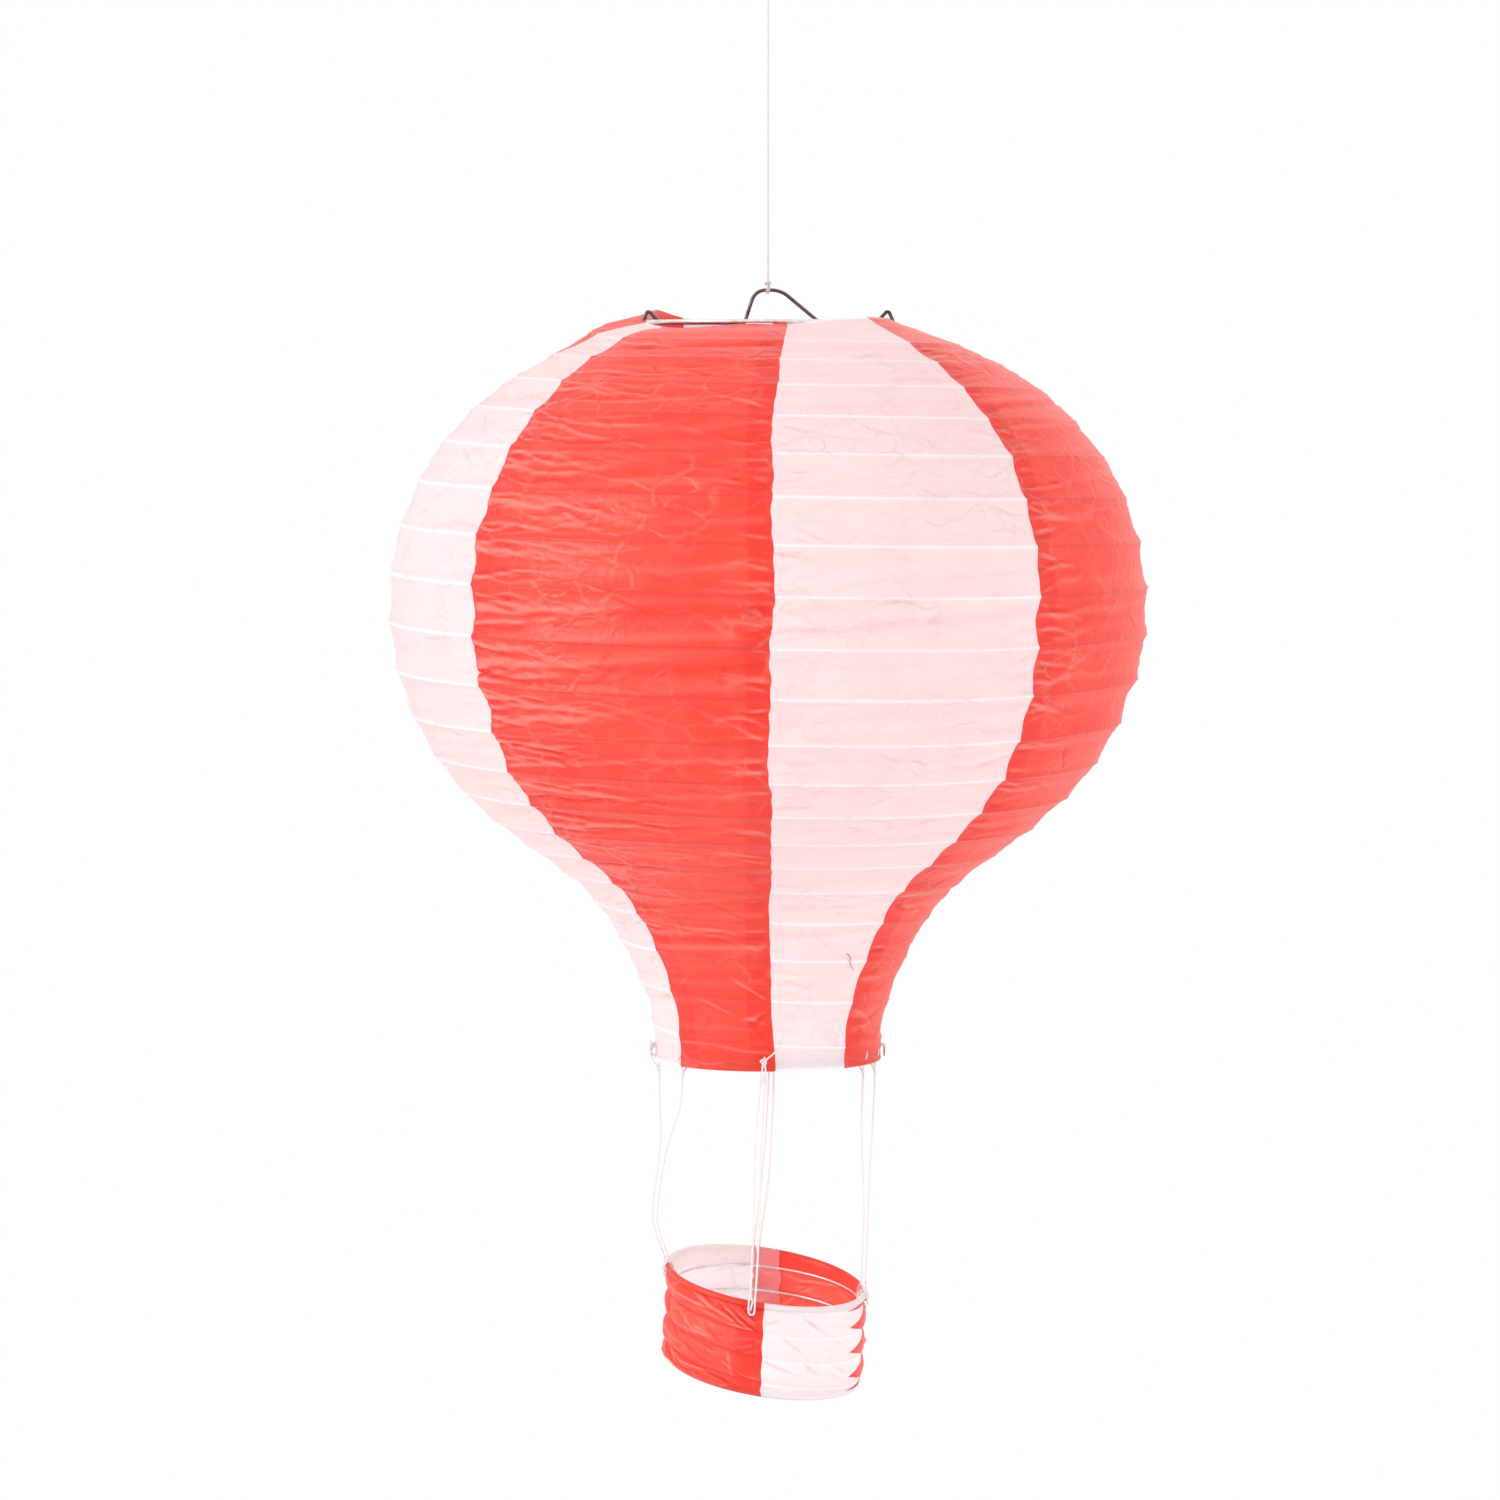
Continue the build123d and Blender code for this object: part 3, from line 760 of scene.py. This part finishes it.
def envelope_band(index, band, lines, azimuth_at, wrinkle, phase, rng):
    """The rows between two held lines: distance down the paper, how far it stands out, how near the wire it
    is, and its creases; the last two are masks for painted highlight and painted shade."""
    white = index % 2 == 0
    top = lines[band]
    height = lines[band + 1] - top
    share = rows_between(ROWS)[:, None] + np.zeros_like(top)
    humped = 4 * share * (1 - share)
    down = top + share * height
    azimuth = azimuth_at(down)
    left, right = seam_gaps(index, down, azimuth)
    nearest = np.minimum(left, right)
    across = np.clip(left, 0, None)
    back = np.clip(right, 0, None)
    at_end = band in (0, RIB_TURNS)
    depth = 0.5
    if not at_end:
        depth = hollow(azimuth, down, band, phase) + 0.5 * bell(np.minimum(across, back), 0, 6)
    held = np.clip(nearest / 3, 0.0 if white else 0.3, 1) * (0.3 if at_end else 1.0)
    folds = band_folds(across, back, share, top, height, wrinkle, rng) * humped ** 0.45 * held
    under = np.clip(-nearest / 1.5, 0, 1) if white else 0.0
    out = -depth * humped ** 0.8 + folds - LAYER * under
    rib = bell(np.minimum(share, 1 - share) * height, 0, 0.42)
    return down, out, rib, crease_shading_mask(folds, height.mean() / ROWS)


def envelope_gore(index, wrinkle, phase, rng):
    """One paper gore of the envelope, from the flap inside the top ring to the flap inside the hem."""
    colour = ("white", "red")[index % 2]
    white = colour == "white"
    share_across, beyond = columns_across(COLUMNS + 1, MARGINS if white else ())

    def azimuth_at(distance):
        radius = at_height(OUTLINE[:, 0], distance)
        mixed = seam(index, distance) * (1 - share_across) + seam(index + 1, distance) * share_across
        return mixed + np.degrees(beyond / radius)

    lines = held_lines(azimuth_at)
    bands = [envelope_band(index, band, lines, azimuth_at, wrinkle, phase, rng)
             for band in range(RIB_TURNS + 1)]
    hem = (lines[-1], np.where(beyond == 0, 0.0, -LAYER), np.ones_like(beyond), np.zeros_like(beyond))
    distance, out, ribs, creases = stacked(bands, hem)
    azimuth = azimuth_at(distance)
    points = envelope_point(distance, azimuth, out)
    double = np.minimum(*seam_gaps(index, distance, azimuth)) < (0 if white else GLUE_MARGIN)

    tucked = np.where(beyond == 0, 0.0, 0.2)
    upper = flap(TOP_FLAP, azimuth[0], points[0, :, 2] / MM - PROFILE[0][1], tucked)
    lower = flap(HEM_FLAP, azimuth[-1], np.zeros(len(tucked)), tucked)
    ends = ((len(upper), len(lower)), (0, 0))
    number = index // 2 + 1
    mesh = grid_mesh(f"gore_{colour}_{number}", np.concatenate([upper, points, lower]))
    # Mask of the wire's lines: painted highlight on white paper, painted shade on red, and less light
    # through.
    paint(mesh, "rib", np.pad(ribs, ends, mode="edge"))
    # Double-layer mask: painted shade on red paper, painted red light on white margins.
    paint(mesh, "double", np.pad(double, ends, mode="edge"))
    # Crease mask for painted highlight on ridges and painted shade in valleys.
    paint(mesh, "crease", np.pad(creases, ends))
    node = f"envelope_{colour}_{number}"
    piece = stand_in(f"gore_{colour}_{number}", mesh, PAPERS[colour], "lantern", node)


def flap(section, azimuth, lift, tucked):
    """Rows of paper folded inwards round a ring wire."""
    turn = np.radians(azimuth)
    rows = []
    for radius, height in section:
        size = radius + tucked
        rows.append(np.stack([size * np.cos(turn), size * np.sin(turn), height + lift], axis=-1) * MM)
    return np.array(rows)


def envelope():
    """Eight gores, the spiral wire behind them and a loose fibre on the paper."""
    rng = np.random.default_rng(11)
    phase = rng.uniform(0, 6.28, RIB_TURNS + 2)
    busy = {5: ((17.0, 88.0, 1.0), (7.0, 34.0, 0.6)), 6: ((9.0, 34.0, 0.55), (8.0, 44.0, 0.55)),
            7: ((10.0, 38.0, 0.85), (7.0, 40.0, 0.6))}
    usual = {"white": ((7.0, 36.0, 0.5), (7.0, 30.0, 0.5)), "red": ((9.0, 48.0, 0.8), (7.0, 32.0, 0.6))}
    for index in range(len(SEAMS)):
        wrinkle = busy.get(index, usual[("white", "red")[index % 2]])
        envelope_gore(index, wrinkle, phase, rng)

    turns = np.linspace(0, RIB_TURNS - 0.12, RIB_TURNS * 120)
    distance = RIB_START + RIB_PITCH * turns
    distance = distance + droop(distance, 360 * turns)
    line = envelope_point(distance, 360 * turns, -np.full(len(turns), WIRE_DEPTH))
    mesh = tubes_mesh("rib_wire", [(tube(line, RIB_D / 2 * MM, around=8), False)])
    stand_in("rib_wire", mesh, PALE_WIRE, "lantern", "rib_spiral")

    shred = envelope_point(np.array([332.0, 333.0, 336.5, 339.0]), np.array([301.5, 303.4, 304.0, 306.2]),
                           np.array([0.3, 1.1, 0.2, 1.4]))
    line = evenly(steered(shred / MM), 0.2 * MM)
    mesh = tubes_mesh("loose_fibre", [(tube(line, 0.16 * MM, around=6), False)])
    fibre = link("loose_fibre", mesh, RED_FIBRE)
    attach(fibre, "lantern")


# ---------- basket ----------
def basket_frame():
    """The basket's rim centre in millimetres and its axes, read from its two rings."""
    rings = []
    for node in ("basket_rim", "basket_base_ring"):
        low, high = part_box(node)
        rings.append(np.array((low + high) / 2) / MM)
    axis = rings[0] - rings[1]
    axis /= np.linalg.norm(axis)
    right = np.array([1.0, 0, 0]) - axis * axis[0]
    right /= np.linalg.norm(right)
    back = np.cross(axis, right)
    return rings[0] + axis * 0.6, right, back, axis


RIM_CENTRE, TO_RIGHT, TO_BACK, BASKET_AXIS = basket_frame()


def basket_point(radius, azimuth, height):
    """Points in metres from the basket's own radius, azimuth and height."""
    turn = np.radians(azimuth)
    x = (radius * np.cos(turn) - BASKET_LEAN * np.asarray(height) / BASKET_H)[..., None]
    y = (radius * np.sin(turn))[..., None]
    return (RIM_CENTRE + x * TO_RIGHT + y * TO_BACK + np.asarray(height)[..., None] * BASKET_AXIS) * MM


def basket_folds(across, share, tall, rng):
    """Slanted folds between two turns of the basket's wire."""
    folds = np.zeros_like(share)
    for _ in range(22):
        x = rng.uniform(0, float(across.max()))
        y = rng.uniform(0, 1)
        slant = rng.normal(0.3, 0.4)
        u = (across - x) * math.cos(slant) + (share - y) * tall * math.sin(slant)
        v = -(across - x) * math.sin(slant) + (share - y) * tall * math.cos(slant)
        deep = rng.normal(0, 0.5)
        folds += deep * np.exp(-(u / rng.uniform(3, 11)) ** 2 - (v / rng.uniform(0.5, 0.9)) ** 2)
    return folds


def basket_lines(azimuth):
    """How far below the rim the paper is held: at its top, over each turn of its wire and at its foot."""
    turns = np.arange(-1, BASKET_TURNS)[:, None]
    lines = np.full((BASKET_TURNS + 3, len(azimuth)), BASKET_H)
    lines[0] = BASKET_TOP
    on_wire = BASKET_RIB_START + BASKET_RIB_PITCH * (turns + azimuth / 360)
    lines[1:-1] = np.clip(on_wire, BASKET_TOP, BASKET_H)
    return lines + 0.02 * np.arange(len(lines))[:, None]


def basket_band(band, lines, azimuth, columns, zigzags, rng):
    """The rows between two held lines: radius, height, azimuth, how near the wire they are, and creases; the
    last two are masks for painted highlight and painted shade.
    """
    share_across, beyond = columns
    white = bool(beyond.any())
    share = rows_between(BASKET_ROWS)[:, None] + np.zeros_like(azimuth)
    tall = lines[band + 1] - lines[band]
    humped = np.clip(4 * share * (1 - share), 0, 1)
    bulge = np.minimum(1.7, 0.2 * tall) * (1 + 0.15 * np.sin(np.radians(azimuth) * 3 + band))
    tooth = 1 - np.abs(2 * share - 1)
    turned = azimuth - (zigzags[0] * (1 - share_across) ** 3 + zigzags[1] * share_across ** 3) * tooth
    across = np.radians(turned - azimuth[0]) * BASKET_PAPER_R
    nearest = np.minimum(share_across, 1 - share_across) * across.max()
    held = np.clip(nearest / 3, 0.0 if white else 0.3, 1)
    folds = basket_folds(across, share, tall, rng) * humped ** 0.5 * np.clip(tall / 8, 0, 1) * held
    radius = BASKET_PAPER_R + bulge * humped ** 0.75 + folds - np.clip(np.abs(beyond) / 2, 0, 1)
    height = -(lines[band] + share * tall)
    rib = bell(np.minimum(share, 1 - share) * tall, 0, 0.5)
    return radius, height, turned, rib, crease_shading_mask(folds, BASKET_RIB_PITCH / BASKET_ROWS)


def basket_gore(index, rng):
    """One paper gore of the basket, bulging between the turns of its wire."""
    name = BASKET_NAMES[index]
    colour = name.split("_")[1]
    white = colour == "white"
    first, first_zigzag = BASKET_SEAMS[index]
    last, last_zigzag = BASKET_SEAMS[(index + 1) % len(BASKET_SEAMS)]
    last += 360 if last < first else 0
    share_across, beyond = columns_across(BASKET_COLUMNS, BASKET_MARGINS if white else ())
    azimuth = first * (1 - share_across) + last * share_across + np.degrees(beyond / BASKET_PAPER_R)
    lines = basket_lines(azimuth)
    bands = [basket_band(band, lines, azimuth, (share_across, beyond), (first_zigzag, last_zigzag), rng)
             for band in range(len(lines) - 1)]
    at_foot = (np.full_like(azimuth, BASKET_PAPER_R), -lines[-1], bands[0][2][0], np.ones_like(azimuth),
               np.zeros_like(azimuth))
    radius, height, turned, ribs, creases = stacked(bands, at_foot)

    tucked = np.where(beyond == 0, 0.0, -0.25)
    top, foot = [np.array([basket_point(r + tucked, turned[0], np.full(len(azimuth), z)) for r, z in section])
                 for section in (BASKET_RIMS, BASKET_FEET)]
    ends = ((len(top), len(foot)), (0, 0))
    ribs = np.pad(ribs, ends)
    seam_gap = np.minimum(share_across, 1 - share_across) * np.radians(last - first) * BASKET_PAPER_R
    double = beyond != 0 if white else seam_gap < BASKET_DOUBLE
    mesh = grid_mesh(f"basket_skin_{name}", np.concatenate([top, basket_point(radius, turned, height), foot]))
    # Mask of the wire's lines: painted highlight on white paper, painted shade on red, and less light
    # through.
    paint(mesh, "rib", ribs)
    # Double-layer mask: painted shade on red paper, painted red light on white margins.
    paint(mesh, "double", np.broadcast_to(double, ribs.shape))
    # Crease mask for painted highlight on ridges and painted shade in valleys.
    paint(mesh, "crease", np.pad(creases, ends))
    piece = stand_in(f"basket_skin_{name}", mesh, PAPERS[colour], "basket", f"basket_{name}")
    squash_basket(piece)


def squash_basket(piece):
    """A basket piece gets its own copy of its mesh."""
    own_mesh(piece)


def basket():
    """Four gores, the spiral wire behind them and the ring at the foot."""
    rng = np.random.default_rng(5)
    for index in range(len(BASKET_NAMES)):
        basket_gore(index, rng)
    turns = np.linspace(0, 3, 361)
    heights = -BASKET_RIB_START - BASKET_RIB_PITCH * turns
    line = basket_point(np.full(len(turns), BASKET_PAPER_R - WIRE_DEPTH), 360 * turns, heights)
    mesh = tubes_mesh("basket_wire", [(tube(line, BASKET_RIB_D / 2 * MM, around=8), False)])
    spiral = stand_in("basket_wire", mesh, PALE_WIRE, "basket", "basket_spiral")
    squash_basket(spiral)

    turn = np.linspace(0, 360, 241)[:-1]
    line = basket_point(np.full(len(turn), FOOT_RING[0]), turn, np.full(len(turn), FOOT_RING[1]))
    mesh = tubes_mesh("foot_ring", [(tube(line, FOOT_RING_D / 2 * MM, around=8, closed=True), True)])
    stand_in("foot_ring", mesh, PALE_WIRE, "basket_base", "basket_base_ring")


# ---------- CAD nodes that stay ----------
def finish_metal():
    """The wire expander, the rings and the hook keep their CAD shape."""
    finishes = {"expander": STEEL, "top_ring": PALE_WIRE, "neck_ring": PALE_WIRE, "basket_rim": PALE_WIRE,
                "ceiling_hook": BRASS}
    for name, material in finishes.items():
        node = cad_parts[name]
        node.data.materials.clear()
        node.data.materials.append(material)


# ---------- studio ----------
SURROUND = 0.98           # light from the white surround
LIGHTS = [
    ("key", (-1.72, -0.95, 0.25), 16, 0.4),
    ("fill", (1.6, -0.9, -0.5), 6, 1.0),
    ("back", (0.5, 1.8, 0.3), 4, 1.4),
]


def studio():
    """A pale floor well below the lantern, a white surround and soft lights."""
    world = bpy.data.worlds.new("white")
    world.use_nodes = True
    sky = world.node_tree.nodes["Background"]
    sky.inputs["Color"].default_value = (1, 1, 1, 1)
    seen = world.node_tree.nodes.new("ShaderNodeLightPath")
    level = world.node_tree.nodes.new("ShaderNodeMapRange")
    level.inputs["To Min"].default_value = SURROUND
    level.inputs["To Max"].default_value = 1.0
    world.node_tree.links.new(seen.outputs["Is Camera Ray"], level.inputs["Value"])
    world.node_tree.links.new(level.outputs["Result"], sky.inputs["Strength"])
    bpy.context.scene.world = world
    bpy.context.scene.view_settings.view_transform = "Standard"
    bpy.context.scene.view_settings.look = "None"

    angle = np.linspace(0, 2 * math.pi, 96, endpoint=False)
    size = np.array([0.01, 0.8, 1.6])[:, None]
    disc = np.stack([size * np.cos(angle), size * np.sin(angle), np.full((3, 96), -1.0)], axis=-1)
    paving = plain("pale_floor", (0.9, 0.9, 0.9), 0.6)
    link("floor", grid_mesh("floor", disc, closed_rows=True), paving)

    for name, place, power, width in LIGHTS:
        data = bpy.data.lights.new(name, "AREA")
        data.energy = power
        data.size = width
        lamp = bpy.data.objects.new(name, data)
        lamp.location = place
        aim = Vector((0, 0, -0.33)) - lamp.location
        lamp.rotation_euler = aim.to_track_quat("-Z", "Y").to_euler()
        bpy.context.scene.collection.objects.link(lamp)


make_camera()
basket_cords()
hanging_cord()
envelope()
basket()
finish_metal()
studio()

bpy.context.view_layer.update()
